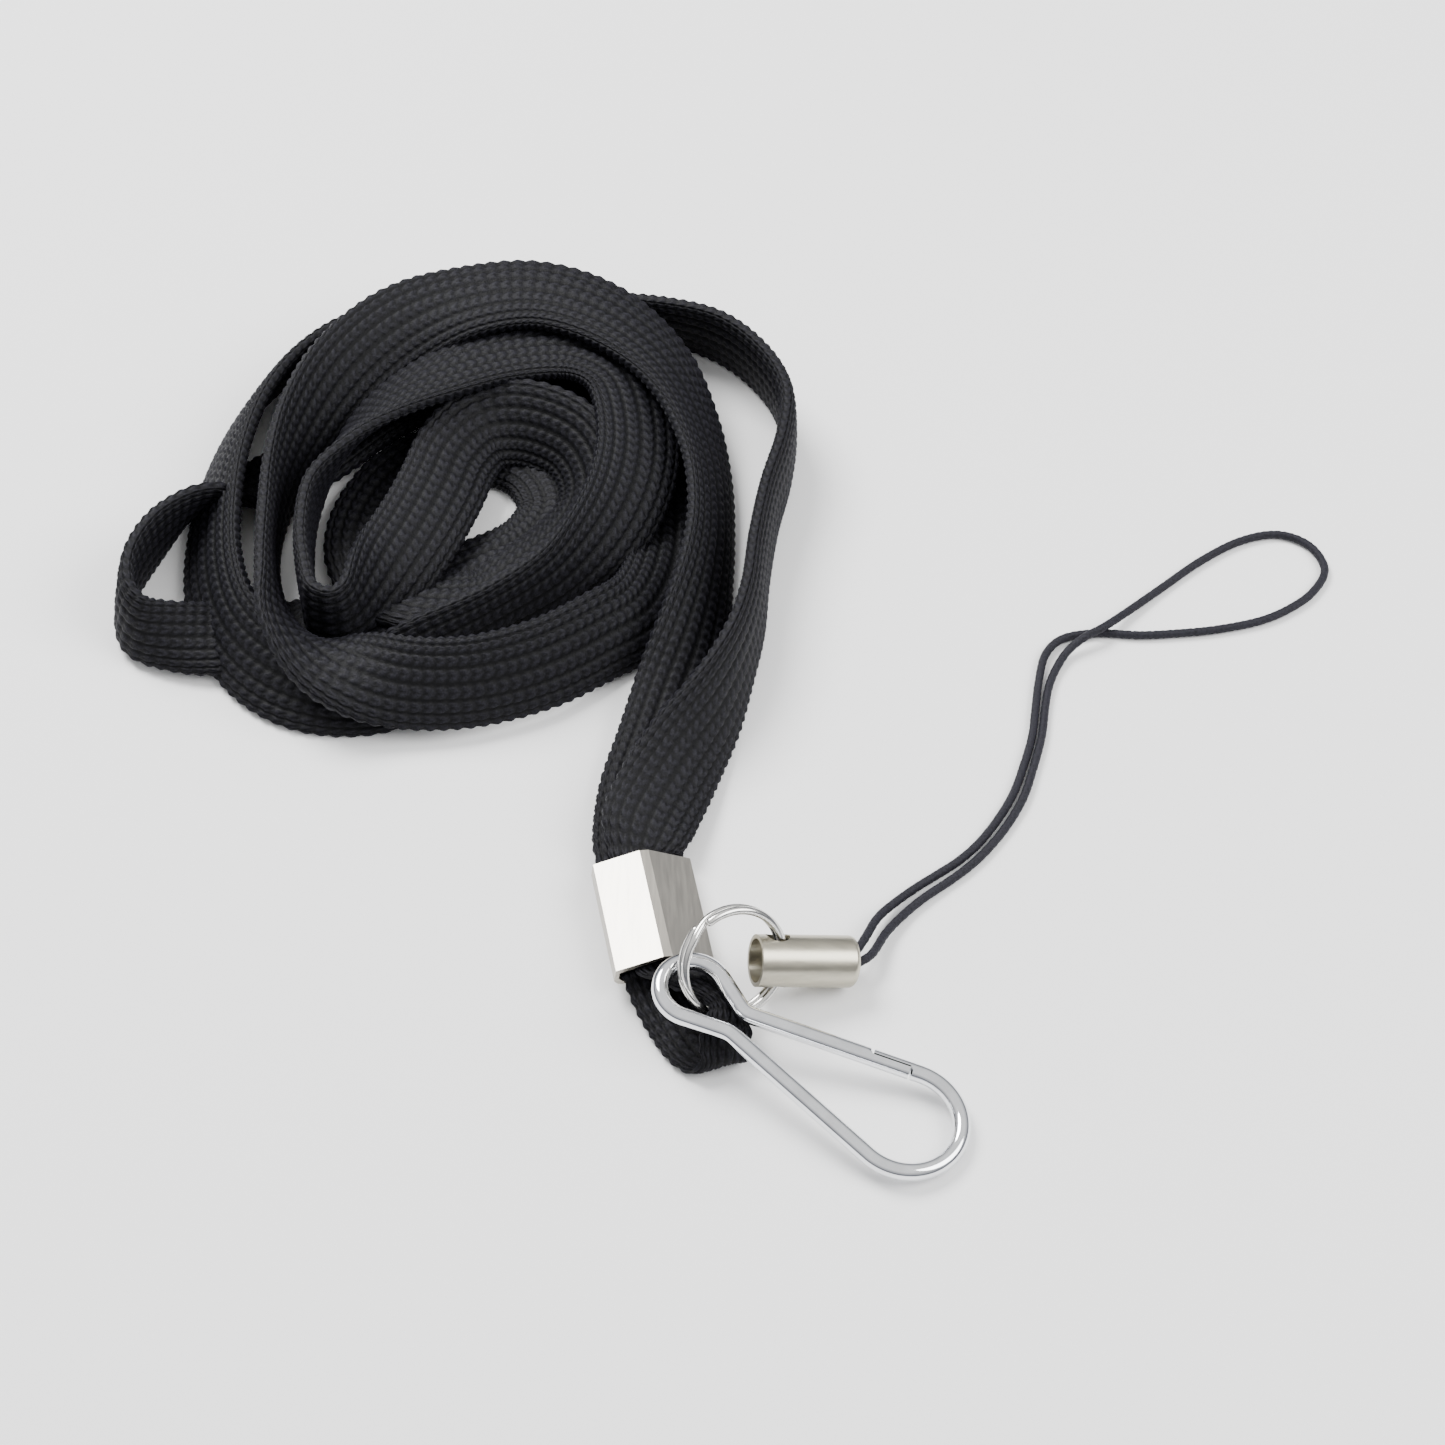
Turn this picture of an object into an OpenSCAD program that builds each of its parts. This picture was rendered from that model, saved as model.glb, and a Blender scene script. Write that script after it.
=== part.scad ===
// Neck lanyard with a snap clip, a split ring and a phone loop, laid on a flat surface.
// Row frame: +X to the right, +Y away from the hardware end, +Z up; the surface is z = 0.

/* [Strap] */
// Width of the knitted flat tube
strap_w = 10.5; // [9.5:0.5:11.5]
// Thickness of the knitted flat tube
strap_t = 2.0; // [1.6:0.2:2.2]
// Outer radius of the bundle that the strap is wound into
coil_r = 31; // [30:0.5:31.5]
// Height of the bundle
coil_h = 13; // [12:0.5:14]

/* [Crimp sleeve] */
// Length of the sleeve along the strap
crimp_len = 14.5; // [13:0.5:15.5]
// Width of the sleeve
crimp_w = 10.8; // [10.6:0.1:11.2]
// Height of the sleeve at its two sides
crimp_side_h = 2.3; // [2.2:0.1:3]
// Height of the sleeve at the butt seam along its middle
crimp_seam_h = 4.3; // [4:0.1:4.8]
// Wall of the sleeve
crimp_wall = 0.45; // [0.35:0.05:0.6]

/* [Split ring] */
// Radius of the ring at the middle of its wire
ring_r = 5.8; // [5.7:0.05:5.9]
// Diameter of the ring's wire, which goes round twice
ring_wire_d = 0.9; // [0.8:0.05:0.95]

/* [Snap clip] */
// Diameter of the clip's wire
clip_wire_d = 1.9; // [1.7:0.1:2]
// Radius of the eye at the middle of the wire
eye_r = 3.5; // [3.4:0.05:3.6]
// Radius of the bow at the far end, at the middle of the wire
bow_r = 5.9; // [5.8:0.05:6]
// Length of the straight spine between the waist and the bow
spine_len = 18.9; // [18.6:0.1:19.2]
// Length of the gate's full-thickness wire, up to the lap
gate_full_len = 13.1; // [12.6:0.1:13.4]
// Length of the nose's full-thickness wire, from the bow to the lap
nose_len = 1.0; // [0.8:0.1:1.2]
// Length of the half-lap between the gate's tip and the nose
lap_len = 4.3; // [3.8:0.1:4.4]
// Clearance between the two halves of the lap
lap_gap = 0.15; // [0.1:0.05:0.3]

/* [End cap] */
// Outer diameter of the cap
cap_d = 5.6; // [5.4:0.1:5.8]
// Length of the cap
cap_len = 11; // [10.5:0.1:11.2]
// Wall of the cap
cap_wall = 0.45; // [0.35:0.05:0.6]
// Diameter of the two cross holes that the ring passes through
cross_hole_d = 2.6; // [2.5:0.1:2.8]
// Distance from the open end to the cross holes
cross_hole_at = 2.2; // [2:0.1:2.5]
// Diameter of the cord's hole in the closed end
cord_hole_d = 2.7; // [2.5:0.1:2.9]
// Radius of the closed end's shoulder
shoulder_r = 0.7; // [0.4:0.1:0.9]

/* [Loop cord] */
// Diameter of the braided loop cord
cord_d = 1.0; // [0.9:0.05:1.05]
// Diameter of the knot inside the cap
knot_d = 3.6; // [3.2:0.1:3.8]

/* [Hidden] */

$fn = 48;
strap_colour = [0.09, 0.09, 0.11];
steel_colour = [0.63, 0.61, 0.57];
chrome_colour = [0.78, 0.79, 0.81];
nickel_colour = [0.66, 0.64, 0.58];
cord_colour = [0.10, 0.10, 0.12];

// Centre of the bundle on the surface
coil_centre = [-7.5, 28.5, 0];
coil_edge_r = 4;

// Middle of the sleeve's upper end, and the sleeve's bearing and bank about its own length
crimp_at = [13.4, -24.1, 1.05];
crimp_bearing = -79;
crimp_bank = -8;
// Gap between one stretch of the strap and the next
end_clear = 0.1;

// Ring: centre, and the turn about X and Z that leans it over the strap
ring_centre = [23.6, -40.05, 6.8];
ring_lean = 60.3;
ring_turn = 31.2;
ring_pitch = ring_wire_d - 0.04;

// Clip: the point of its own frame near the eye's middle, its bearing and its slope to the surface
clip_at = [20.15, -43.35, 6.3];
clip_bearing = -30.4;
clip_slope = 9.6;
clip_wire_r = clip_wire_d / 2;
// The gate's pivot in the clip's frame, and the way the gate points from it
gate_root = [6.03, 0.53];
gate_line = 13.4;
// The clip's wire starts beside the gate's round root, which takes up the first degrees of the root's bend
root_r = 2.0;
root_turn = -42.4;
root_cut = 32;
// Clearance at the ends of the lap
lap_end_gap = 0.2;
// From there: [radius, turn] for a bend, [0, length] for a straight
clip_steps = [
    [root_r, root_turn + root_cut], [0, 4.0],
    [eye_r, 223], [0, 4.3],
    [3.0, -26], [0, spine_len],
    [bow_r, 205.4], [0, nose_len + lap_len]];
wire_sides = 24;
wire_bend_step = 12;

// Cap: middle of the cross holes, and the direction of the cap towards its closed end
cap_at = [28.1, -38.55, 4.95];
cap_bearing = 10.1;
cap_droop = 14.5;
cap_roll = -36.6;
cap_end_wall = 0.6;
cap_exit = cap_len - cross_hole_at;

// Side count of the swept cord
cord_sides = 8;

// Strap stations: [x, y, z, bearing of the width, rise of the width, width, thickness]
side_loop = [
    [-38.6, 29.2, 4, 135, -50, 10, 1.9], [-41.2, 26.2, 4.9, 143, -70, 10, 2], [-43.6, 22.8, 5.2, 150, -80, 10, 2],
    [-45.8, 17.6, 5.2, 164, -84, 9.6, 2], [-46.4, 12.8, 4.8, 188, -78, 8.6, 2], [-44.6, 9.4, 4.3, 232, -66, 8, 2],
    [-40.8, 8.4, 3.7, 266, -44, 8, 1.9], [-36.8, 8.8, 2.7, 273, -20, 8.6, 1.8], [-33.6, 9.4, 2.1, 276, -12, 9, 1.8]];
tail_lower = [
    [13.5, -23.9, 2.2, 10, -8, 9.4, 1.1], [13.4, -20, 2, 5, -7, 10, 1.6], [14, -13, 1.8, -6, -7, 10.2, 1.9],
    [15.8, -6, 2, -18, -10, 10.2, 1.9], [17.4, 0.5, 2.8, -20, -18, 10.2, 1.9]];
tail_upper = [
    [13.5, -23.9, 3.7, 10, -8, 8.6, 1], [14.2, -20, 4.1, 6, -13, 9.4, 1.4], [15.8, -15.5, 4.5, -2, -22, 10, 1.8],
    [18.6, -9.5, 5, -12, -42, 10.3, 2], [21.7, -3, 5.3, -20, -62, 10.5, 2], [24.2, 4, 5.5, -20, -76, 10.5, 2],
    [25.7, 11, 5.5, -14, -82, 10.5, 2], [26.4, 16.9, 5.5, -12, -84, 10.5, 2]];
outer_loop = [
    [26.4, 17, 5.5, -12, -84, 10.5, 2], [27.8, 26, 5.5, -14, -86, 10.5, 2], [29.8, 35, 5.5, -8, -88, 10.5, 2],
    [30.3, 42.2, 5.5, 8, -88, 10.5, 2], [28, 49, 5.4, 32, -84, 10.5, 2], [23, 55.2, 5.3, 52, -80, 10.5, 2],
    [16, 59, 5, 68, -72, 10.5, 2], [8, 60.6, 4.9, 84, -66, 10.5, 2], [1, 60.6, 4.9, 92, -66, 10.5, 2]];
bight = [
    [16.5, -38.7, 4, 12, -8, 7.6, 1], [18.2, -39.6, 4.1, 22, -8, 6.4, 1], [20.7, -41.2, 4.4, 36, -12, 4.4, 0.9],
    [22.9, -43.6, 4.4, 28, -20, 4, 0.9], [23.1, -46, 3.7, 22, -12, 4.8, 1],
    [22.8, -47.8, 2.9, 20, -4, 5.6, 1.2], [22.6, -49, 1.9, 18, 0, 5.2, 1.2], [21.7, -48.4, 0.95, 18, 0, 6.4, 1.1],
    [20.3, -46.4, 0.6, 20, 0, 8, 1], [18.6, -43.4, 0.6, 20, 0, 8.2, 1], [17.2, -40.6, 0.9, 16, -4, 8.4, 1],
    [16.3, -38.8, 2, 12, -8, 8.6, 1]];

// Loop cord: out along one strand, round the far loop and back along the other
cord_route = [
    [36.4, -37.6, 2.8], [38.4, -35.8, 2.3], [40.2, -32, 1.2], [42.4, -29, 0.7], [44.6, -26.8, 0.6],
    [47, -24.8, 0.5], [49.3, -22.8, 0.5], [51.5, -20.4, 0.5], [53.9, -17, 0.5], [56, -13, 0.6],
    [57.4, -8.6, 0.6], [58.6, -4, 0.6], [59.2, 0, 0.6], [59.8, 3.2, 0.6], [60.8, 6, 0.6],
    [62.3, 8.5, 0.9], [64.3, 10.1, 1.5], [66.5, 11.5, 1.6], [69.3, 14.3, 0.9], [73.8, 18.5, 0.5],
    [79, 23, 0.5], [84, 26.2, 0.5], [88.5, 27.2, 0.5], [92, 25.4, 0.5], [93.4, 21.6, 0.5],
    [91.6, 18, 0.5], [88.6, 15.4, 0.5], [85, 13.5, 0.5], [80, 12.2, 0.5], [75.5, 11.6, 0.5],
    [70.9, 11.3, 0.5], [66, 11.6, 0.5], [62, 10.8, 0.5], [59.8, 8.4, 0.5], [58.8, 4.6, 0.5],
    [58.1, 0, 0.5], [57.5, -4, 0.5], [56.3, -8.3, 0.5], [54.9, -12.4, 0.5], [52.9, -16.2, 0.5],
    [50.7, -19.4, 0.5], [48.4, -21.8, 0.5], [46.1, -23.6, 0.5], [43.8, -25.4, 0.6], [41.5, -27.5, 0.8],
    [39.3, -30.2, 1.4], [37.7, -33.8, 2.3], [36.3, -36.5, 2.8]];

// ---------- shared geometry ----------

// Catmull-Rom point of a list between stations i and i + 1
function spline_at(p, i, f) =
    let (a = p[max(i - 1, 0)], b = p[i], c = p[i + 1], d = p[min(i + 2, len(p) - 1)])
    0.5 * (2 * b + (c - a) * f + (2 * a - 5 * b + 4 * c - d) * f * f + (3 * b - a - 3 * c + d) * f * f * f);

function smooth_list(p, steps) = concat(
    [for (i = [0:len(p) - 2], s = [0:steps - 1]) spline_at(p, i, s / steps)], [p[len(p) - 1]]);

function unit(v) = v / norm(v);

function place(q) = [q[0], q[1], q[2]];

function tangent_at(p, i) = unit(place(p[min(i + 1, len(p) - 1)]) - place(p[max(i - 1, 0)]));

// Faces of a tube of `rings` rings with `sides` corners each, with flat ends
function tube_faces(rings, sides) = concat(
    [for (i = [0:rings - 2], k = [0:sides - 1])
        [i * sides + k, i * sides + (k + 1) % sides, (i + 1) * sides + (k + 1) % sides]],
    [for (i = [0:rings - 2], k = [0:sides - 1])
        [i * sides + k, (i + 1) * sides + (k + 1) % sides, (i + 1) * sides + k]],
    [[for (k = [sides - 1:-1:0]) k]],
    [[for (k = [0:sides - 1]) (rings - 1) * sides + k]]);

// Flat strap with rounded edges, swept along its stations
module strap_run(stations, steps) {
    run = smooth_list(stations, steps);
    corners = [[-0.5, 0], [-0.42, -0.5], [0.42, -0.5], [0.5, 0], [0.42, 0.5], [-0.42, 0.5]];
    points = [for (i = [0:len(run) - 1])
        let (s = run[i], t = tangent_at(run, i),
             across = [cos(s[3]) * cos(s[4]), sin(s[3]) * cos(s[4]), sin(s[4])],
             w = unit(across - t * (across * t)), n = cross(w, t))
        for (c = corners) place(s) + w * c[0] * s[5] + n * c[1] * s[6]];
    polyhedron(points, tube_faces(len(run), len(corners)), convexity = 8);
}

// Round tube through a list of frames, each [centre, left, up]
module round_tube(frames, radius, sides) {
    points = [for (f = frames, k = [0:sides - 1])
        let (a = -360 * k / sides) f[0] + (f[1] * cos(a) + f[2] * sin(a)) * radius];
    polyhedron(points, tube_faces(len(frames), sides), convexity = 8);
}

// Frames of a cord along its route
function cord_frames(route) = [for (i = [0:len(route) - 1])
    let (t = tangent_at(route, i), w = unit(cross([0, 0, 1], t)))
    [route[i], w, cross(t, w)]];

// ---------- clip wire, laid bend by bend in its own plane ----------

// Left of a heading in the plane
function left_of(heading) = [-sin(heading), cos(heading), 0];

// Where a bend of this radius has come to after this turn; positive turns left
function after_bend(at, heading, radius, turn) =
    at + sign(turn) * radius * (left_of(heading) - left_of(heading + turn));

function after_straight(at, heading, length) = at + length * [cos(heading), sin(heading), 0];

// Frames along steps of [radius, turn] for a bend and [0, length] for a straight
function wire_frames(steps, at, heading, i = 0) =
    i == len(steps) ? [[at, left_of(heading), [0, 0, 1]]] :
    let (radius = steps[i][0], amount = steps[i][1], parts = radius > 0 ? ceil(abs(amount) / wire_bend_step) : 1)
    concat(
        [for (k = [0:parts - 1])
            let (turn = radius > 0 ? amount * k / parts : 0)
            [radius > 0 ? after_bend(at, heading, radius, turn) : at, left_of(heading + turn), [0, 0, 1]]],
        wire_frames(steps, radius > 0 ? after_bend(at, heading, radius, amount) : after_straight(at, heading, amount),
            radius > 0 ? heading + amount : heading, i + 1));

module in_clip_frame() translate(clip_at) rotate([0, clip_slope, clip_bearing]) children();

// Runs from the gate's root along the gate towards the nose
module from_gate_root() in_clip_frame() translate(gate_root) rotate([0, 0, gate_line]) children();

// Box that takes away the half of the wire on the left of the gate line, or on its right
module lap_cut(from, to, side)
    translate([from, side > 0 ? -lap_gap / 2 : -clip_wire_d, -clip_wire_d])
        cube([to - from, clip_wire_d + lap_gap / 2, 2 * clip_wire_d]);

// ---------- cap frame: +X from the cross holes to the closed end, +Z along the cross holes ----------

module in_cap_frame() translate(cap_at) rotate([0, cap_droop, cap_bearing]) rotate([cap_roll, 0, 0]) children();

// ---------- strap ----------

// Outer shape of the wound bundle
module strap_coil() color(strap_colour) translate(coil_centre) rotate_extrude()
    difference() {
        square([coil_r, coil_h]);
        difference() {
            translate([coil_r - coil_edge_r, coil_h - coil_edge_r]) square(coil_edge_r + 1);
            translate([coil_r - coil_edge_r, coil_h - coil_edge_r]) circle(r = coil_edge_r);
        }
    }

// Space of the bundle with clearance, where no free run goes
module coil_space() translate([coil_centre[0], coil_centre[1], -coil_h])
    cylinder(h = 3 * coil_h, r = coil_r + end_clear);

// Space across the sleeve, from one distance along it to another
module sleeve_space(from, to) in_crimp_frame() translate([-crimp_w, -crimp_w, from])
    cube([2 * crimp_w, 2 * crimp_w, to - from]);

module strap_side_loop() color(strap_colour) difference() {
    strap_run(side_loop, 2);
    coil_space();
}

module strap_outer_loop() color(strap_colour) difference() {
    strap_run(outer_loop, 2);
    coil_space();
}

module strap_tail_lower() color(strap_colour) difference() {
    strap_run(tail_lower, 2);
    coil_space();
    sleeve_space(-end_clear, crimp_len);
}

module strap_tail_upper() color(strap_colour) difference() {
    strap_run(tail_upper, 2);
    sleeve_space(-end_clear, crimp_len);
}

module strap_bight() color(strap_colour) difference() {
    strap_run(bight, 3);
    sleeve_space(0, crimp_len + end_clear);
}

// ---------- crimp sleeve ----------

module in_crimp_frame() translate(crimp_at) rotate([0, 0, crimp_bearing]) rotate([crimp_bank, 0, 0])
    rotate([90, 0, 90]) children();

// House-shaped outline of the sleeve, `inset` inside its outer surface
module sleeve_outline(inset) {
    half = crimp_w / 2 - inset;
    foot = 0.5;
    polygon([[-half + foot, inset], [half - foot, inset], [half, inset + foot], [half, crimp_side_h - inset],
             [foot, crimp_seam_h - inset], [-foot, crimp_seam_h - inset], [-half, crimp_side_h - inset],
             [-half, inset + foot]]);
}

module crimp_sleeve() color(steel_colour) in_crimp_frame() linear_extrude(height = crimp_len)
    difference() {
        sleeve_outline(0);
        sleeve_outline(crimp_wall);
    }

// Both layers of the strap, squeezed inside the sleeve
module strap_in_crimp() color(strap_colour) in_crimp_frame() translate([0, 0, end_clear])
    linear_extrude(height = crimp_len - 2 * end_clear) sleeve_outline(crimp_wall);

// ---------- split ring ----------

module split_ring() color(nickel_colour) translate(ring_centre) rotate([ring_lean, 0, ring_turn])
    for (side = [-0.5, 0.5]) translate([0, 0, side * ring_pitch])
        rotate_extrude() translate([ring_r, 0]) circle(r = ring_wire_d / 2);

// ---------- snap clip ----------

// One bent wire from beside the gate's root round the eye, the waist and the bow to the nose
module snap_clip() color(chrome_colour) from_gate_root() difference() {
    round_tube(wire_frames(clip_steps, after_bend([0, 0, 0], 180, root_r, -root_cut), 180 - root_cut),
        clip_wire_r, wire_sides);
    lap_cut(gate_full_len, gate_full_len + lap_len + lap_end_gap, -1);
}

// Sprung arm: its round root turns in place, and its tip laps the nose from inside
module clip_gate() color(chrome_colour) from_gate_root() {
    sphere(r = clip_wire_r);
    difference() {
        rotate([0, 90, 0]) cylinder(h = gate_full_len + lap_len, r = clip_wire_r);
        lap_cut(gate_full_len, 2 * gate_full_len, 1);
    }
}

// ---------- end cap ----------

module end_cap() color(nickel_colour) in_cap_frame() difference() {
    translate([-cross_hole_at, 0, 0]) rotate([0, 90, 0]) rotate_extrude() cap_profile();
    translate([0, 0, -cap_d]) cylinder(h = 2 * cap_d, r = cross_hole_d / 2);
}

// Half section of the cap: radius across, length up, with a rounded shoulder at the closed end
module cap_profile() {
    outer = cap_d / 2;
    inner = outer - cap_wall;
    shoulder = [for (a = [0:15:90])
        [outer - shoulder_r + shoulder_r * cos(a), cap_len - shoulder_r + shoulder_r * sin(a)]];
    polygon(concat([[inner, 0], [outer, 0]], shoulder,
        [[cord_hole_d / 2, cap_len], [cord_hole_d / 2, cap_len - cap_end_wall], [inner, cap_len - cap_end_wall]]));
}

// ---------- loop cord ----------

module cord_knot() color(cord_colour) in_cap_frame()
    translate([cap_exit - cap_end_wall - knot_d / 2 - 0.1, 0, 0]) sphere(r = knot_d / 2);

module loop_cord() color(cord_colour) round_tube(cord_frames(cord_route), cord_d / 2, cord_sides);

strap_coil();
strap_side_loop();
strap_outer_loop();
strap_tail_lower();
strap_tail_upper();
strap_in_crimp();
strap_bight();
crimp_sleeve();
split_ring();
snap_clip();
clip_gate();
end_cap();
cord_knot();
loop_cord();
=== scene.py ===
"""Neck lanyard with a snap clip, a split ring and a phone loop, wound up and laid on a pale table."""

import math

import bpy
import numpy as np
from mathutils import Matrix, Vector


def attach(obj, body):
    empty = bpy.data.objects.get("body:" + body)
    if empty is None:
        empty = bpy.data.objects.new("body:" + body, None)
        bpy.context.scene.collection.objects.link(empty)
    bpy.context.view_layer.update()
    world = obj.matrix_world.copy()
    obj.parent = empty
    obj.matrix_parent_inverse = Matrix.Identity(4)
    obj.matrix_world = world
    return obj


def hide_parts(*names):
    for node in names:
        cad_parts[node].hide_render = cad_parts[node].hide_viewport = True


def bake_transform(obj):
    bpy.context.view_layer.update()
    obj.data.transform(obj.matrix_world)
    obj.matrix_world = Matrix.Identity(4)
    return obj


MM = 0.001

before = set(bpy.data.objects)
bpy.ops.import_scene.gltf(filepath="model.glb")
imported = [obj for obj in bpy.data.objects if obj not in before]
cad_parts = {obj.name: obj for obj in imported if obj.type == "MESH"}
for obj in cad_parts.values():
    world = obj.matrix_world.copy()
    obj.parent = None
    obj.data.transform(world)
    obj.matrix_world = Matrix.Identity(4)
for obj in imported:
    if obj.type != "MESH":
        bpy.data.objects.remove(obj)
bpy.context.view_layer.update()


# ---------------------------------------------------------------- camera

PHOTO_LENS = 87.7
PHOTO_ELEVATION = 50
CAMERA_AT = (22.5, -258.6, 306.4)


def make_camera():
    """The camera, at the photo's viewing angle."""
    data = bpy.data.cameras.new("photo_camera")
    data.sensor_width = 36
    data.lens = PHOTO_LENS
    camera = bpy.data.objects.new("photo_camera", data)
    camera.location = Vector(CAMERA_AT) * MM
    camera.rotation_euler = (math.radians(90 - PHOTO_ELEVATION), 0, 0)
    bpy.context.scene.collection.objects.link(camera)
    bpy.context.scene.camera = camera


make_camera()


# ---------------------------------------------------------------- curves and swept meshes

def smooth(stations, spacing):
    """Catmull-Rom curve through the rows of stations, resampled at about the given spacing in mm."""
    p = np.array(stations, float)
    p = np.vstack([2 * p[0] - p[1], p, 2 * p[-1] - p[-2]])
    f = np.linspace(0, 1, 40, endpoint=False)[:, None]
    parts = []
    for a, b, c, d in zip(p, p[1:], p[2:], p[3:]):
        square, cube = 2 * a - 5 * b + 4 * c - d, 3 * b - a - 3 * c + d
        parts.append(0.5 * (2 * b + (c - a) * f + square * f**2 + cube * f**3))
    dense = np.vstack(parts + [p[-2:-1]])
    along = np.concatenate([[0], np.cumsum(np.linalg.norm(np.diff(dense[:, :3], axis=0), axis=1))])
    at = np.linspace(0, along[-1], int(along[-1] / spacing) + 1)
    return np.stack([np.interp(at, along, dense[:, k]) for k in range(dense.shape[1])], axis=1), at


def unit(v):
    return v / np.linalg.norm(v, axis=-1, keepdims=True)


def tube_mesh(name, rings, uv_scale=(1, 1)):
    """Closed mesh of rings x corners points in mm, with flat ends and a UV map of (round, along)."""
    count, corners = rings.shape[:2]
    index = np.arange(count * corners).reshape(count, corners)
    here, there = index[:-1], index[1:]
    quads = np.stack([here, np.roll(here, -1, 1), np.roll(there, -1, 1), there], axis=-1).reshape(-1, 4)
    mesh = bpy.data.meshes.new(name)
    caps = [tuple(index[0][::-1]), tuple(index[-1])]
    mesh.from_pydata((rings.reshape(-1, 3) * MM).tolist(), [], quads.tolist() + caps)
    uv = mesh.uv_layers.new(name="UVMap")
    u = np.arange(corners) / corners
    v = np.arange(count) / (count - 1)
    u0, v0 = np.meshgrid(u, v[:-1])
    u1, v1 = u0 + 1 / corners, np.broadcast_to(v[1:, None], v0.shape)
    flat = np.stack([u0, v0, u1, v0, u1, v1, u0, v1], axis=-1).reshape(-1, 2) * uv_scale
    flat = np.vstack([flat, np.zeros((2 * corners, 2))])
    uv.data.foreach_set("uv", flat.astype(np.float32).ravel())
    mesh.polygons.foreach_set("use_smooth", [True] * len(mesh.polygons))
    mesh.update()
    thing = bpy.data.objects.new(name, mesh)
    bpy.context.scene.collection.objects.link(thing)
    return thing


# ---------------------------------------------------------------- materials

def new_material(name, **sockets):
    """A principled material with plain constants on its sockets, and its nodes."""
    material = bpy.data.materials.new(name)
    material.use_nodes = True
    nodes = material.node_tree.nodes
    shader = nodes["Principled BSDF"]
    for socket, value in sockets.items():
        shader.inputs[socket.replace("_", " ")].default_value = value
    return material, nodes, material.node_tree.links, shader


def add_bump(nodes, links, shader, height, strength, distance):
    bump = nodes.new("ShaderNodeBump")
    bump.inputs["Strength"].default_value = strength
    bump.inputs["Distance"].default_value = distance
    links.new(height, bump.inputs["Height"])
    links.new(bump.outputs["Normal"], shader.inputs["Normal"])


def object_noise(nodes, links, scale, detail=2, stretch=(1, 1, 1)):
    """Noise in the object's own space, in metres."""
    where = nodes.new("ShaderNodeTexCoord")
    mapping = nodes.new("ShaderNodeMapping")
    mapping.inputs["Scale"].default_value = stretch
    noise = nodes.new("ShaderNodeTexNoise")
    noise.inputs["Scale"].default_value = scale
    noise.inputs["Detail"].default_value = detail
    links.new(where.outputs["Object"], mapping.inputs["Vector"])
    links.new(mapping.outputs["Vector"], noise.inputs["Vector"])
    return noise.outputs["Fac"]


def ramp(nodes, links, value, low, high, start=0.0, end=1.0):
    """Colour between low and high as value goes from start to end."""
    mix = nodes.new("ShaderNodeValToRGB")
    mix.color_ramp.elements[0].position = start
    mix.color_ramp.elements[0].color = (*low, 1)
    mix.color_ramp.elements[1].position = end
    mix.color_ramp.elements[1].color = (*high, 1)
    links.new(value, mix.inputs["Fac"])
    return mix.outputs["Color"]


def yarn_material(name, gap_shade_attribute=None):
    """Black yarn with shade painted between the stitches on the knit (darker where the stitch height is low)
    and random fibre tone, with a faint cool sheen on the strands.
    """
    material, nodes, links, shader = new_material(
        name, Roughness=0.6, Sheen_Weight=0.02, Sheen_Roughness=0.35)
    shader.inputs["Sheen Tint"].default_value = (0.6, 0.58, 0.75, 1)
    shader.inputs["Specular IOR Level"].default_value = 0.18
    fibres = object_noise(nodes, links, 4200, 3)
    tone = fibres
    if gap_shade_attribute:
        relief = nodes.new("ShaderNodeAttribute")
        relief.attribute_name = gap_shade_attribute
        fibres_with_gap_shade = nodes.new("ShaderNodeMath")
        fibres_with_gap_shade.operation = "MULTIPLY"
        links.new(relief.outputs["Fac"], fibres_with_gap_shade.inputs[0])
        links.new(fibres, fibres_with_gap_shade.inputs[1])
        tone = fibres_with_gap_shade.outputs["Value"]
    # Painted shade: on the knit the colour runs from near black where the stitch height is low, in the gaps,
    # to the yarn colour on the stitch tops; the braid gets only random fibre tone.
    gap_shade_and_dark_fibre_colour, yarn_colour = (0.001, 0.001, 0.0016), (0.017, 0.0165, 0.023)
    links.new(ramp(nodes, links, tone, gap_shade_and_dark_fibre_colour, yarn_colour, 0.12, 0.6), shader.inputs["Base Color"])
    add_bump(nodes, links, shader, fibres, 0.6, 0.00012)
    return material


def metal_material(name, colour, roughness, streak=(1, 1, 1), scale=900, depth=0.15):
    material, nodes, links, shader = new_material(name, Metallic=1.0)
    marks = object_noise(nodes, links, scale, 4, streak)
    darker = tuple(c * 0.86 for c in colour)
    links.new(ramp(nodes, links, marks, darker, colour, 0.3, 0.7), shader.inputs["Base Color"])
    spread = nodes.new("ShaderNodeMapRange")
    spread.inputs["To Min"].default_value = roughness * 0.8
    spread.inputs["To Max"].default_value = roughness * 1.3
    links.new(marks, spread.inputs["Value"])
    links.new(spread.outputs["Result"], shader.inputs["Roughness"])
    add_bump(nodes, links, shader, marks, depth, 0.00002)
    return material


KNIT = yarn_material("black_knit", "height")
BRAID = yarn_material("black_braid")
BRUSHED = metal_material("brushed_steel", (0.56, 0.53, 0.47), 0.32, (1, 0.06, 1), 2600, 0.35)
CHROME = metal_material("chrome", (0.86, 0.87, 0.89), 0.07, (1, 1, 1), 500, 0.05)
NICKEL = metal_material("nickel", (0.74, 0.73, 0.70), 0.16, (1, 1, 1), 700, 0.08)
SATIN = metal_material("satin_nickel", (0.50, 0.47, 0.38), 0.3, (0.1, 1, 1), 2200, 0.25)


# ---------------------------------------------------------------- loop cord

CORD_D = 1.0
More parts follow.
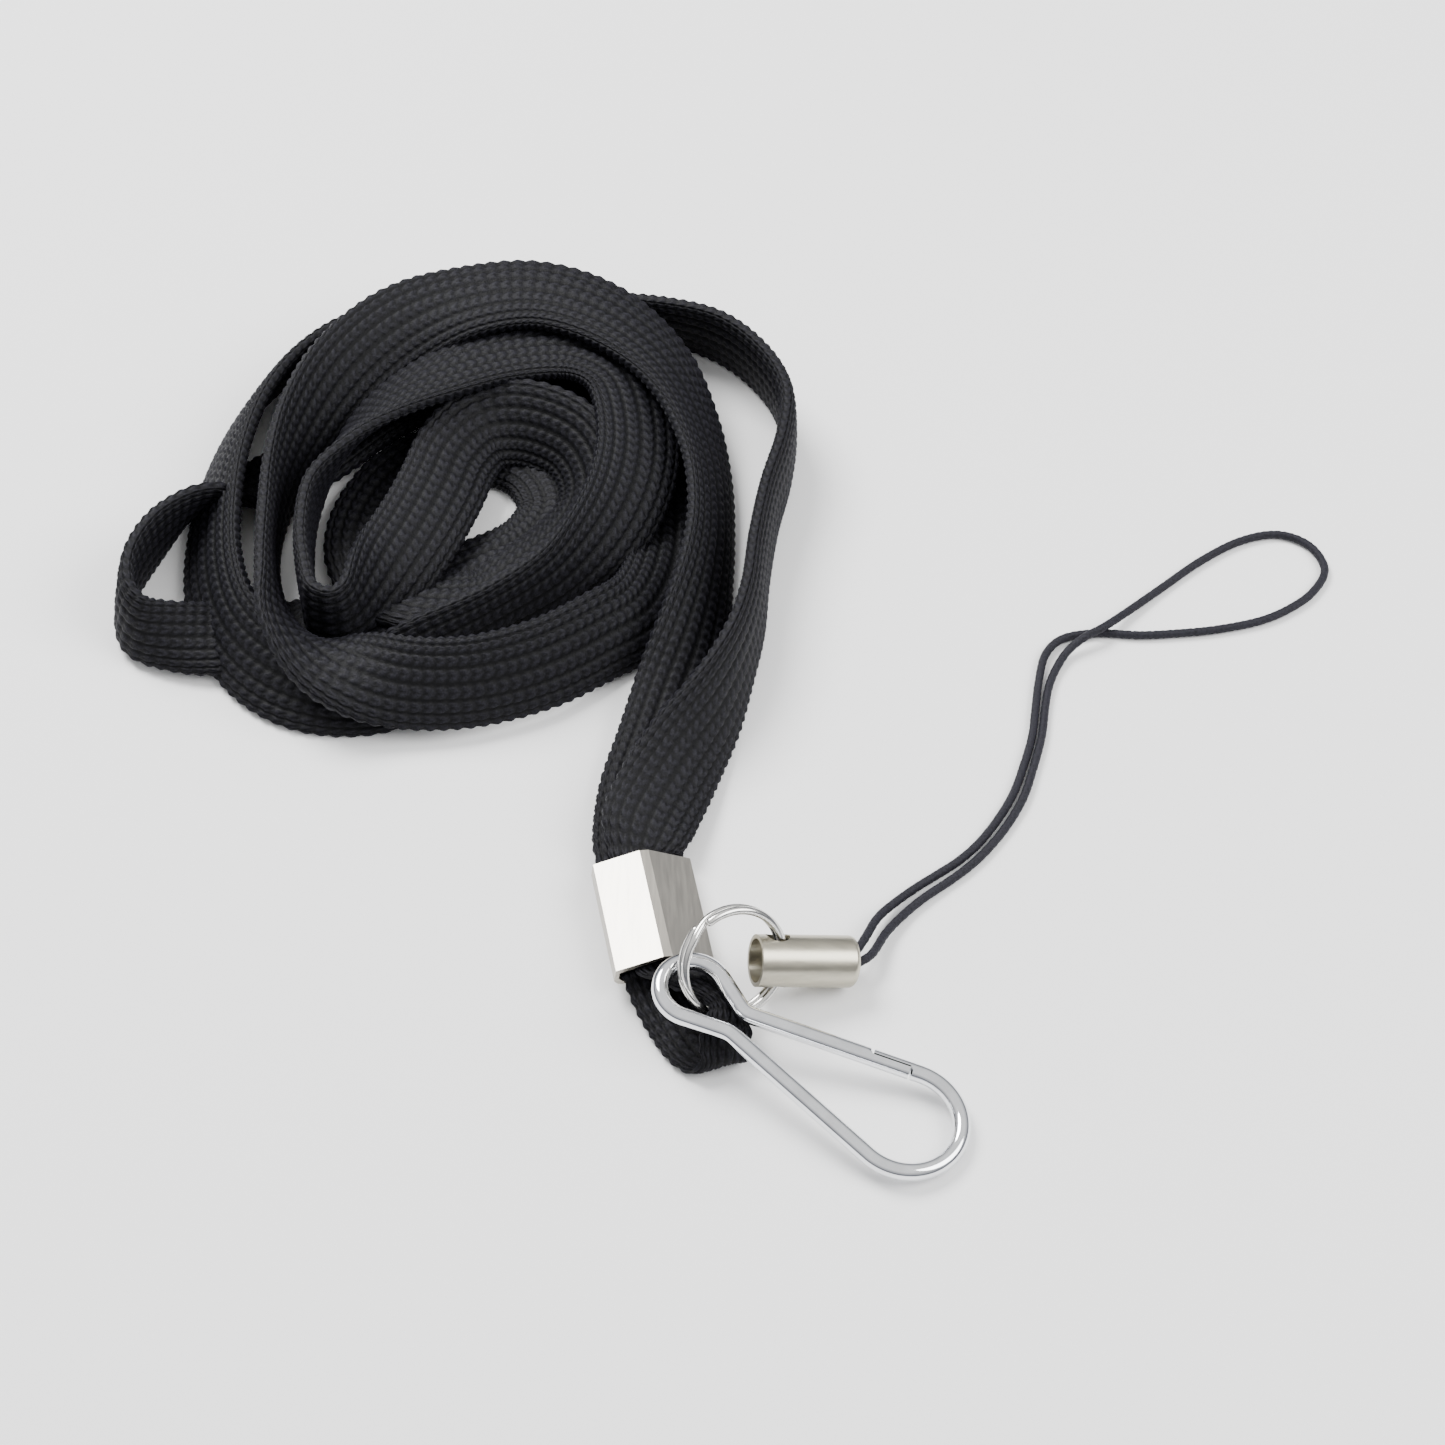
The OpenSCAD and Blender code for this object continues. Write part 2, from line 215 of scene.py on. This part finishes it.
# Out along one strand, round the far loop and back along the other, in mm
CORD_ROUTE = [
    [36.4, -37.6, 2.8], [38.4, -35.8, 2.3], [40.2, -32, 1.2], [42.4, -29, 0.7], [44.6, -26.8, 0.6],
    [47, -24.8, 0.5], [49.3, -22.8, 0.5], [51.5, -20.4, 0.5], [53.9, -17, 0.5], [56, -13, 0.6],
    [57.4, -8.6, 0.6], [58.6, -4, 0.6], [59.2, 0, 0.6], [59.8, 3.2, 0.6], [60.8, 6, 0.6],
    [62.3, 8.5, 0.9], [64.3, 10.1, 1.5], [66.5, 11.5, 1.6], [69.3, 14.3, 0.9], [73.8, 18.5, 0.5],
    [79, 23, 0.5], [84, 26.2, 0.5], [88.5, 27.2, 0.5], [92, 25.4, 0.5], [93.4, 21.6, 0.5],
    [91.6, 18, 0.5], [88.6, 15.4, 0.5], [85, 13.5, 0.5], [80, 12.2, 0.5], [75.5, 11.6, 0.5],
    [70.9, 11.3, 0.5], [66, 11.6, 0.5], [62, 10.8, 0.5], [59.8, 8.4, 0.5], [58.8, 4.6, 0.5],
    [58.1, 0, 0.5], [57.5, -4, 0.5], [56.3, -8.3, 0.5], [54.9, -12.4, 0.5], [52.9, -16.2, 0.5],
    [50.7, -19.4, 0.5], [48.4, -21.8, 0.5], [46.1, -23.6, 0.5], [43.8, -25.4, 0.6], [41.5, -27.5, 0.8],
    [39.3, -30.2, 1.4], [37.7, -33.8, 2.3], [36.3, -36.5, 2.8]]


def braided_cord():
    """The loop cord as one tube with the relief of a fine round braid."""
    corners = 20
    line, at = smooth(CORD_ROUTE, 0.3)
    along = unit(np.gradient(line, axis=0))
    side = unit(np.cross([0, 0, 1.0], along))
    up = np.cross(along, side)
    turn = np.linspace(0, 2 * math.pi, corners, endpoint=False)
    twist = 2 * math.pi * at[:, None] / 3.2
    relief = np.maximum(np.cos(4 * turn[None] + 4 * twist), np.cos(4 * turn[None] - 4 * twist))
    radius = CORD_D / 2 - 0.05 + 0.05 * relief
    rings = line[:, None] + radius[..., None] * (
        side[:, None] * np.cos(turn)[None, :, None] + up[:, None] * np.sin(turn)[None, :, None])
    cord = tube_mesh("loop_cord_braid", rings)
    cord.data.materials.append(BRAID)
    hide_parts("loop_cord")
    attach(cord, "cord")
    return cord


braided_cord()


# ---------------------------------------------------------------- neck strap

# Columns of stitches round the tube, height of a stitch, height of its relief
WALES = 18
WALE_CORNERS = 6
COURSE = 1.35
RELIEF = 0.42
RING_SPACING = 0.27

# Stations of the strap's middle line: x, y, z in mm, the bank of its width about its own line in
# degrees (0 flat, 90 on edge, positive lifts the side on the right of the way along), width, thickness.
# First strand, out of the sleeve and round the bundle to the curl at its heart
FIRST_STRAND = [
    [15, -32, 2.05, -8, 9, 0.7], [13.5, -24.1, 2.1, -8, 9.2, 0.9], [13.3, -20, 1.8, -6, 10.2, 1.6],
    [14, -13, 1.6, -6, 10.5, 2], [15.8, -6, 1.8, -10, 10.5, 2], [17.6, 1, 2.6, -20, 10.5, 2],
    [19.3, 8, 4.0, -42, 10.5, 2], [20.6, 16, 5.2, -60, 10.5, 2], [21.2, 24, 5.7, -64, 10.5, 2],
    [20.6, 33, 6.3, -58, 10.5, 2], [18.2, 42, 7.4, -44, 10.5, 2], [14, 49.6, 8.8, -22, 10.5, 2],
    [7.5, 55, 10.2, -4, 10.5, 2], [-0.5, 57.8, 10.6, 4, 10.5, 2], [-9, 56.6, 10.4, 10, 10.5, 2],
    [-16.5, 53.2, 9.6, 28, 10.5, 2], [-22.5, 47, 8.6, 44, 10.5, 2], [-26.8, 39.5, 7.4, 62, 10.5, 2],
    [-29.6, 31, 6.6, 80, 10.5, 2], [-30.4, 22, 6.2, 88, 10.5, 2], [-29.4, 13.5, 6.0, 80, 10.5, 2],
    [-26.5, 6.5, 6.0, 50, 10.5, 2], [-21, 1.8, 6.0, 0, 10.5, 2], [-14, -0.4, 5.8, -40, 10.5, 2],
    [-6, -0.2, 5.6, -52, 10.5, 2], [2, 2.6, 5.4, -54, 10.5, 2], [8.6, 7.6, 4.6, -52, 10.5, 2],
    [13.8, 13, 3.4, -36, 10.5, 2], [16.6, 22, 2.4, -20, 10.5, 2], [16.2, 33, 2.2, -16, 10.5, 2],
    [13, 42, 2.2, -16, 10.5, 2], [6.5, 48.4, 2.2, -16, 10.5, 2], [-1.5, 51.4, 2.2, -16, 10.5, 2],
    [-10.5, 50.8, 2.2, -14, 10.5, 2], [-19.5, 45.5, 2.0, -12, 10.5, 2], [-27.5, 38, 1.6, -10, 10.5, 1.8],
    [-34, 33.2, 1.7, -14, 10, 1.8], [-39.6, 28.2, 4.7, -60, 10, 2], [-43.4, 23, 5.3, -80, 10, 2],
    [-45.8, 17.6, 5.2, -84, 9.6, 2], [-46.4, 12.8, 4.8, -78, 8.6, 2], [-44.6, 9.4, 4.3, -66, 8, 2],
    [-40.8, 8.4, 3.7, -44, 8, 2], [-35.5, 8.8, 2.6, -16, 9, 1.8], [-29, 10.2, 1.3, 0, 10, 1.8],
    [-22, 12.5, 1.2, 4, 10.5, 2], [-13, 16.5, 1.2, 4, 10.5, 2], [-6, 20.5, 1.3, 4, 10.5, 2],
    [0.5, 25, 1.3, 5, 10.5, 2], [3.2, 31.5, 1.3, 6, 10.5, 2], [0, 38, 1.3, 6, 10.5, 2],
    [-7, 40.3, 1.4, 6, 10.5, 2], [-14.5, 36, 1.6, 6, 10.5, 2], [-18.5, 29, 1.8, 6, 10.5, 2],
    [-18.8, 21.5, 2.0, 6, 10.5, 2], [-14.5, 15.5, 2.3, 8, 10.5, 2], [-6, 14.8, 2.6, 10, 10.5, 2],
    [-1, 18.4, 3.2, 14, 10.5, 2], [4.4, 24.4, 3.9, 26, 10.5, 2], [6.8, 31.2, 4.8, 42, 10.5, 2],
    [4.6, 37.6, 5.2, 48, 10.5, 2], [-0.8, 40.8, 5.4, 46, 10.5, 2], [-6, 40, 5.6, 38, 10.5, 2],
    [-9, 35.6, 5.8, 28, 10.5, 2], [-10.6, 30, 5.8, 22, 10.5, 2], [-12.6, 24.4, 5.7, 22, 10.5, 2],
    [-15.2, 18.8, 5.5, 32, 10.5, 2], [-17.6, 14.2, 5.4, 58, 10.5, 2], [-19.8, 10.6, 5.4, 80, 10.5, 2]]
# Second strand, from the curl back round the bundle and down to the sleeve
SECOND_STRAND = [
    [-22, 9.4, 5.4, 90, 10.5, 2], [-24.2, 10.4, 5.4, 90, 10.5, 2], [-25.2, 13.4, 5.4, 90, 10.5, 2],
    [-26.2, 20, 5.6, 90, 10.5, 2], [-25.8, 27.6, 6.2, 84, 10.5, 2], [-22.6, 34.6, 7.4, 60, 10.5, 2],
    [-18, 40.4, 8.4, 34, 10.5, 2], [-11.4, 45.4, 8.8, 16, 10.5, 2], [-3.6, 49.4, 8.6, 8, 10.5, 2],
    [4.6, 50.2, 8.4, 8, 10.5, 2], [10.4, 45.6, 8.3, 18, 10.5, 2], [12.4, 37.4, 8.2, 24, 10.5, 2],
    [11.9, 29, 8, 30, 10.5, 2], [8.8, 21, 7.4, 48, 10.5, 2], [3.4, 14.6, 6.4, 74, 10.5, 2],
    [-3.6, 9.6, 5.7, 84, 10.5, 2], [-10, 5, 4.8, 66, 10.5, 2], [-16.5, 1.4, 2.8, 30, 10.5, 2],
    [-23.5, 1.2, 2.8, 28, 10.5, 2], [-29.5, 3.9, 3.7, 40, 10.5, 2], [-34, 9.2, 4.4, 50, 10.5, 2],
    [-36.6, 17, 4.6, 50, 10.5, 2], [-37.2, 26.4, 4.9, 52, 10.5, 2], [-36.4, 35.4, 5.0, 56, 10.5, 2],
    [-34.2, 43.8, 5.0, 60, 10.5, 2], [-30.2, 51, 5.0, 64, 10.5, 2], [-24.6, 56.4, 4.9, 66, 10.5, 2],
    [-17.4, 59.8, 4.8, 64, 10.5, 2], [-9, 61, 4.7, 62, 10.5, 2], [0, 61.2, 4.7, 62, 10.5, 2],
    [8, 61, 4.8, 64, 10.5, 2], [16, 59, 5.0, 72, 10.5, 2], [23, 55.2, 5.3, 80, 10.5, 2],
    [28, 49, 5.4, 84, 10.5, 2], [30.3, 42.2, 5.4, 88, 10.5, 2], [29.8, 35, 5.4, 88, 10.5, 2],
    [28, 27, 5.4, 86, 10.5, 2], [26.8, 19, 5.4, 84, 10.5, 2], [26, 11, 5.4, 82, 10.5, 2],
    [24.4, 4, 5.4, 78, 10.5, 2], [21.8, -3, 5.0, 64, 10.5, 2], [18.4, -9.5, 4.5, 42, 10.5, 2],
    [15.6, -15.5, 3.9, 22, 10.5, 2], [14.1, -20, 3.8, 12, 10, 1.6], [13.6, -24.1, 3.2, 8, 6.4, 0.9],
    [15, -32, 3.1, 8, 5.6, 0.8]]
# Bight below the sleeve: x, y, z, bearing of the width, its rise, width, thickness
BIGHT = [
    [15.6, -36.6, 3.1, 10, -8, 5.6, 0.8], [16.3, -38.3, 3.3, 12, -8, 5.8, 0.9],
    [18, -39.2, 3.9, 22, -8, 6, 1.1], [20.7, -41.2, 4.4, 36, -12, 4.6, 1.1],
    [22.9, -43.6, 4.3, 28, -20, 4.4, 1.1], [23.1, -46, 3.6, 22, -12, 5, 1.2],
    [22.8, -47.8, 2.9, 20, -4, 5.6, 1.3], [22.6, -49, 1.9, 18, 0, 5.2, 1.4],
    [21.9, -48.4, 0.95, 18, 0, 6.6, 1.2],
    [20.6, -46.4, 0.7, 20, 0, 8.4, 1.1], [19, -43.4, 0.7, 20, 0, 9, 1.1], [17.3, -40.2, 1.1, 14, -4, 9, 1.1],
    [15.9, -36.8, 2.0, 10, -8, 9, 1.1]]


def banked(stations):
    """Stations with the bank as a direction of the width: x, y, z, across xyz, width, thickness."""
    s = np.array(stations, float)
    along = np.gradient(s[:, :3], axis=0)
    right = unit(np.stack([along[:, 1], -along[:, 0], 0 * along[:, 0]], axis=1))
    bank = np.radians(s[:, 3:4])
    return np.hstack([s[:, :3], right * np.cos(bank) + [0, 0, 1] * np.sin(bank), s[:, 4:]])


def aimed(stations):
    """The same for stations that give the width's bearing and rise."""
    s = np.array(stations, float)
    bearing, rise = np.radians(s[:, 3]), np.radians(s[:, 4])
    across = np.stack([np.cos(bearing) * np.cos(rise), np.sin(bearing) * np.cos(rise), np.sin(rise)], axis=1)
    return np.hstack([s[:, :3], across, s[:, 5:]])


def unflipped(stations):
    """Turns the width direction round where it would flip over between two stations."""
    s = stations.copy()
    for i in range(1, len(s)):
        if np.dot(s[i, 3:6], s[i - 1, 3:6]) < 0:
            s[i, 3:6] *= -1
    return s


def knitted_strap(name, stations):
    """A flat knitted tube along the stations, with the relief of its stitches."""
    corners = WALE_CORNERS * WALES
    run, at = smooth(unflipped(stations), RING_SPACING)
    line, across, width, thick = run[:, :3], run[:, 3:6], run[:, 6], run[:, 7]
    along = unit(np.gradient(line, axis=0))
    across = unit(across - along * np.sum(along * across, axis=1, keepdims=True))
    face = np.cross(across, along)
    turn = np.linspace(0, 2 * math.pi, corners, endpoint=False)
    c, s = np.cos(turn), np.sin(turn)
    # flat oval whose corners are spread evenly over its width
    w = np.sign(c) * np.abs(c) ** 0.95
    h = np.sign(s) * np.abs(s) ** 0.42
    wale = (np.arange(corners) / WALE_CORNERS + 0.5) % 1 - 0.5
    phase = at[:, None] / COURSE + 1.2 * np.abs(wale)[None]
    stitch = (0.5 + 0.5 * np.cos(2 * math.pi * phase)) ** 0.7
    column = np.cos(math.pi * wale) ** 0.7 - 0.35 * np.exp(-((wale / 0.1) ** 2))
    height = column[None] * (0.25 + 0.75 * stitch)
    relief = RELIEF * (height - 0.6)
    half_w = width[:, None] / 2 + relief
    half_t = thick[:, None] / 2 + relief
    sideways = across[:, None] * (w[None] * half_w)[..., None]
    outward = face[:, None] * (h[None] * half_t)[..., None]
    strap = tube_mesh(name, line[:, None] + sideways + outward)
    # The stitch height is kept on the mesh for the knit material, which uses it to paint shade into the gaps
    # between stitches.
    stored = strap.data.attributes.new("height", "FLOAT", "POINT")
    stored.data.foreach_set("value", height.astype(np.float32).ravel())
    strap.data.materials.append(KNIT)
    return strap, at[-1]


STRAP_NODES = ["strap_coil", "strap_side_loop", "strap_outer_loop", "strap_tail_lower", "strap_tail_upper",
               "strap_in_crimp", "strap_bight"]
strap_stations = np.vstack([banked(FIRST_STRAND + SECOND_STRAND), aimed(BIGHT)])
neck_strap, strap_length = knitted_strap("neck_strap", strap_stations)
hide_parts(*STRAP_NODES)
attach(neck_strap, "strap")
print("strap length mm", round(float(strap_length), 1))


# ---------------------------------------------------------------- snap clip

# The clip's own plane: where it is, its bearing and its slope, and the gate's root and direction in it
CLIP_AT, CLIP_BEARING, CLIP_SLOPE = (20.15, -43.35, 6.3), -30.4, 9.6
GATE_ROOT, GATE_LINE = (6.03, 0.53, 0), 13.4
WIRE_R = 0.95
GATE_LEN = 13.1
LAP_LEN = 4.3
LAP_GAP = 0.15
# The one wire from the gate's tip to the nose: (radius, turn in degrees) for a bend,
# (0, length) for a straight
GATE_STEPS = [(0, GATE_LEN + LAP_LEN), (2.0, -42.4), (0, 2.0)]
CLIP_STEPS = [(0, 2.0), (3.5, 223), (0, 4.3), (3.0, -26), (0, 18.9), (5.9, 205.4), (0, 1.0 + LAP_LEN)]


def left_of(heading):
    return np.array([-math.sin(heading), math.cos(heading), 0])


def wire_frames(steps, at, heading, spacing):
    """Points and headings along the steps, and where the wire has come to."""
    points, headings = [at], [heading]
    for radius, amount in steps:
        length = amount if radius == 0 else radius * math.radians(abs(amount))
        parts = max(1, round(length / spacing))
        start = at
        for k in range(1, parts + 1):
            if radius == 0:
                at = start + amount * k / parts * np.array([math.cos(heading), math.sin(heading), 0])
                points.append(at)
                headings.append(heading)
            else:
                turn, side = math.radians(amount) * k / parts, math.copysign(radius, amount)
                at = start + side * (left_of(heading) - left_of(heading + turn))
                points.append(at)
                headings.append(heading + turn)
        heading = headings[-1]
    return np.array(points), np.array(headings)


def clip_to_row():
    """The gate line's own axes, put in the row frame."""
    bearing, slope, line = (math.radians(v) for v in (CLIP_BEARING, CLIP_SLOPE, GATE_LINE))
    turn = Matrix.Rotation(bearing, 4, "Z") @ Matrix.Rotation(slope, 4, "Y")
    return Matrix.Translation(CLIP_AT) @ turn @ Matrix.Translation(GATE_ROOT) @ Matrix.Rotation(line, 4, "Z")


def wire_mesh(name, points, headings, lapped, keep):
    """Round wire along the points; the lapped ones keep only the left (keep 1) or right (keep -1) half."""
    corners = 32
    turn = np.linspace(0, 2 * math.pi, corners, endpoint=False) + math.pi / corners
    to_row = np.array(clip_to_row())
    rings = []
    for i, (at, heading) in enumerate(zip(points, headings)):
        side = WIRE_R * np.cos(turn)
        if lapped[i]:
            side = keep * np.maximum(keep * side, LAP_GAP / 2)
        ring = at + side[:, None] * left_of(heading) + WIRE_R * np.sin(turn)[:, None] * [0, 0, 1]
        rings.append(ring @ to_row[:3, :3].T + to_row[:3, 3])
    wire = tube_mesh(name, np.array(rings))
    wire.data.materials.append(CHROME)
    sharp_edges(wire)
    return wire


def sharp_edges(thing, angle=40):
    split = thing.modifiers.new("sharp", "EDGE_SPLIT")
    split.split_angle = math.radians(angle)


def make_clip():
    tip = np.array([GATE_LEN + LAP_LEN, 0, 0])
    gate, gate_heading = wire_frames(GATE_STEPS, tip, math.pi, 0.3)
    clip, clip_heading = wire_frames(CLIP_STEPS, gate[-1], gate_heading[-1], 0.3)
    along = np.concatenate([[0], np.cumsum(np.linalg.norm(np.diff(gate, axis=0), axis=1))])
    gate_wire = wire_mesh("gate_wire", gate, gate_heading, along < LAP_LEN - 0.05, 1)
    along = np.concatenate([[0], np.cumsum(np.linalg.norm(np.diff(clip, axis=0), axis=1))])
    clip_wire = wire_mesh("clip_wire", clip, clip_heading, along[-1] - along < LAP_LEN - 0.05, -1)
    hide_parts("snap_clip")
    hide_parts("clip_gate")
    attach(clip_wire, "clip")
    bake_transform(gate_wire)


make_clip()


# ---------------------------------------------------------------- split ring

RING_AT = np.array([23.6, -40.05, 6.8])
RING_NORMAL = np.array([0.45, -0.743, 0.496])
RING_R = 5.8
RING_WIRE = 0.9


def make_ring():
    """One wire wound twice, with the step where each turn passes over the other's end."""
    normal = unit(RING_NORMAL)
    across = unit(np.cross([0, 0, 1.0], normal))
    up = np.cross(normal, across)
    start, turns, step = math.radians(115), 2 * math.pi, math.radians(38)
    angle = np.linspace(0, 2 * turns - math.radians(8), 300)
    rise = np.clip((angle - turns + step / 2) / step, 0, 1)
    level = (rise * rise * (3 - 2 * rise) - 0.5) * (RING_WIRE - 0.04)
    a = (start + angle)[:, None]
    out = across * np.cos(a) + up * np.sin(a)
    line = RING_AT + RING_R * out + level[:, None] * normal
    corners = 20
    turn = np.linspace(0, 2 * math.pi, corners, endpoint=False)
    taper = np.clip(np.minimum(angle, angle[-1] - angle) / 0.03, 0.6, 1)
    r = RING_WIRE / 2 * taper[:, None, None]
    around = out[:, None] * np.cos(turn)[None, :, None] + normal * np.sin(turn)[None, :, None]
    rings = line[:, None] + r * around
    ring = tube_mesh("ring_wire", rings)
    ring.data.materials.append(NICKEL)
    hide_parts("split_ring")
    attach(ring, "ring")


make_ring()


# ---------------------------------------------------------------- other metal parts

def finish_node(name, material):
    """Gives a CAD node its material and smooth shading."""
    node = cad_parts[name]
    node.data.materials.clear()
    node.data.materials.append(material)
    node.data.polygons.foreach_set("use_smooth", [True] * len(node.data.polygons))
    sharp_edges(node, 35)


finish_node("crimp_sleeve", BRUSHED)
finish_node("end_cap", SATIN)
finish_node("cord_knot", BRAID)


# ---------------------------------------------------------------- table and light

def make_floor():
    bpy.ops.mesh.primitive_plane_add(size=3, location=(0, 0, -0.00005))
    floor = bpy.context.object
    floor.name = "floor"
    material, nodes, links, shader = new_material(
        "pale_table", Base_Color=(0.93, 0.93, 0.93, 1), Roughness=0.7)
    floor.data.materials.append(material)


def area_light(name, place, target, size, power):
    data = bpy.data.lights.new(name, "AREA")
    data.shape = "DISK"
    data.size = size
    data.energy = power
    light = bpy.data.objects.new(name, data)
    light.location = place
    light.rotation_euler = (Vector(target) - Vector(place)).to_track_quat("-Z", "Y").to_euler()
    bpy.context.scene.collection.objects.link(light)


def make_light():
    """A white room, darker towards the horizon, a large soft key from the far left and a fill."""
    world = bpy.data.worlds.new("studio")
    world.use_nodes = True
    nodes, links = world.node_tree.nodes, world.node_tree.links
    where = nodes.new("ShaderNodeTexCoord")
    split = nodes.new("ShaderNodeSeparateXYZ")
    links.new(where.outputs["Generated"], split.inputs["Vector"])
    sky = ramp(nodes, links, split.outputs["Z"], (0.16, 0.17, 0.2), (1, 1, 1), 0.15, 0.75)
    links.new(sky, nodes["Background"].inputs["Color"])
    nodes["Background"].inputs["Strength"].default_value = 1.15
    bpy.context.scene.world = world
    area_light("key", (-0.3, 0.35, 0.6), (0, 0, 0), 0.4, 9)
    area_light("fill", (0.5, -0.1, 0.5), (0.02, 0, 0), 0.5, 5)


make_floor()
make_light()
